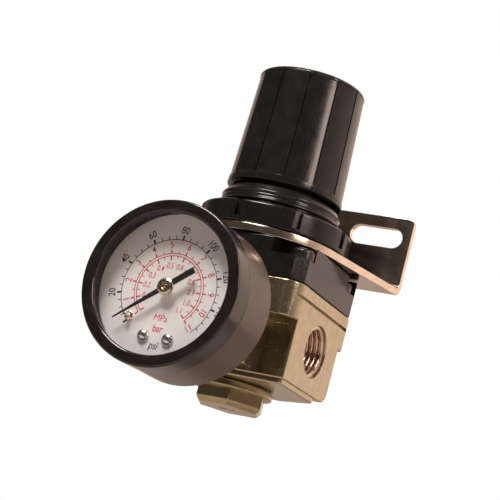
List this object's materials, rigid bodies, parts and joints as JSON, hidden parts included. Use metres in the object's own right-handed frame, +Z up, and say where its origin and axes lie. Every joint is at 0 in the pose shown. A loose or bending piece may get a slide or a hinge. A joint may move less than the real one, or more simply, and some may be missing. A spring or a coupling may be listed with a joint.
{
  "type": "air pressure regulator",
  "caption": "Inline air pressure regulator with a push-lock knob, a round dial gauge, side ports and a slotted angle bracket for a wall.",
  "frame": {"origin": "centre of the bracket's rear mounting face, midway between its two slots", "axes": "+Y out of the bracket's rear face into the wall, +Z up along the knob, +X towards the outlet port; the gauge faces -Y"},
  "size_m": [0.055, 0.0824, 0.0921],
  "materials": {
    "cast_body": "satin champagne paint over a fine die-cast texture",
    "black_resin": "semi-gloss moulded resin",
    "black_gloss": "gloss moulded resin",
    "dark_steel": "black oxide",
    "steel": "bright machined",
    "zinc_plate": "bright zinc plating with a warm tint",
    "brass": "machined",
    "plated_guide": "satin olive gold",
    "rubber": "matte",
    "case_enamel": "smooth brown-black enamel",
    "lens": "clear, polished",
    "dial_enamel": "matt white with printed scales",
    "pointer_black": "satin black"
  },
  "bodies": {
    "housing": {"body": "cast_body", "bonnet": "black_resin", "bonnet_screw_1": "dark_steel", "bonnet_screw_2": "dark_steel", "bonnet_screw_3": "dark_steel", "bonnet_screw_4": "dark_steel", "mounting_bracket": "zinc_plate", "setting_nut": "black_resin", "thrust_washer": "brass", "regulating_spring": "steel", "diaphragm": "rubber", "valve_spring": "steel", "valve_guide": "plated_guide", "guide_o_ring": "rubber", "stem_o_ring": "rubber", "rear_port_plug": "brass", "gauge_socket": "brass", "gauge_case": "case_enamel", "gauge_bezel": "black_gloss", "gauge_lens": "lens", "lens_gasket": "rubber", "gauge_dial": "dial_enamel", "dial_screw_left": "steel", "dial_screw_right": "steel", "stop_pin": "brass", "front_movement_plate": "brass", "back_movement_plate": "brass", "bourdon_tube": "brass"},
    "spindle": {"adjusting_screw": "steel"},
    "knob": {"knob": "black_gloss"},
    "spring_nut": {"adjusting_nut": "brass"},
    "diaphragm_centre": {"diaphragm_plate": "zinc_plate", "diaphragm_stud": "brass"},
    "poppet": {"valve_poppet": "brass", "valve_seal": "rubber"},
    "pointer": {"pointer": "pointer_black", "pinion_shaft": "steel"},
    "sector": {"sector_gear": "brass"},
    "link": {"link": "steel"}
  },
  "joints": [
    {"name": "knob_turn", "type": "hinge", "parent": "housing", "child": "spindle", "pos_m": [0, -0.029, 0], "axis": [0, 0, -1], "range_deg": [0, 1440]},
    {"name": "knob_pull", "type": "slide", "parent": "spindle", "child": "knob", "axis": [0, 0, 1], "range_m": [0, 0.003]},
    {"name": "spring_nut_travel", "type": "slide", "parent": "housing", "child": "spring_nut", "axis": [0, 0, -1], "range_m": [0, 0.006], "deforming": ["regulating_spring"]},
    {"name": "diaphragm_travel", "type": "slide", "parent": "housing", "child": "diaphragm_centre", "axis": [0, 0, -1], "range_m": [0, 0.001], "stiffness_N_per_m": 300, "springref_m": -0.003, "deforming": ["diaphragm"]},
    {"name": "valve_travel", "type": "slide", "parent": "housing", "child": "poppet", "axis": [0, 0, -1], "range_m": [0, 0.001], "stiffness_N_per_m": 300, "springref_m": -0.003, "deforming": ["valve_spring"]},
    {"name": "sector_turn", "type": "hinge", "parent": "housing", "child": "sector", "pos_m": [0, -0.07, -0.05025], "axis": [0, -1, 0], "range_deg": [0, 37.5], "stiffness_Nm_per_rad": 0.0005},
    {"name": "pointer_turn", "type": "hinge", "parent": "housing", "child": "pointer", "pos_m": [0, -0.07, -0.04], "axis": [0, 1, 0], "range_deg": [0, 270]},
    {"name": "link_turn", "type": "hinge", "parent": "sector", "child": "link", "pos_m": [0.00492, -0.0713, -0.05112], "axis": [0, 1, 0], "range_deg": [0, 37.5]}
  ],
  "couplings": [
    {"joint": "spring_nut_travel", "follows": "knob_turn", "m_per_rad": 0.00023873},
    {"joint": "valve_travel", "follows": "diaphragm_travel", "ratio": 1},
    {"joint": "pointer_turn", "follows": "sector_turn", "ratio": 7.2},
    {"joint": "link_turn", "follows": "sector_turn", "ratio": 1}
  ]
}
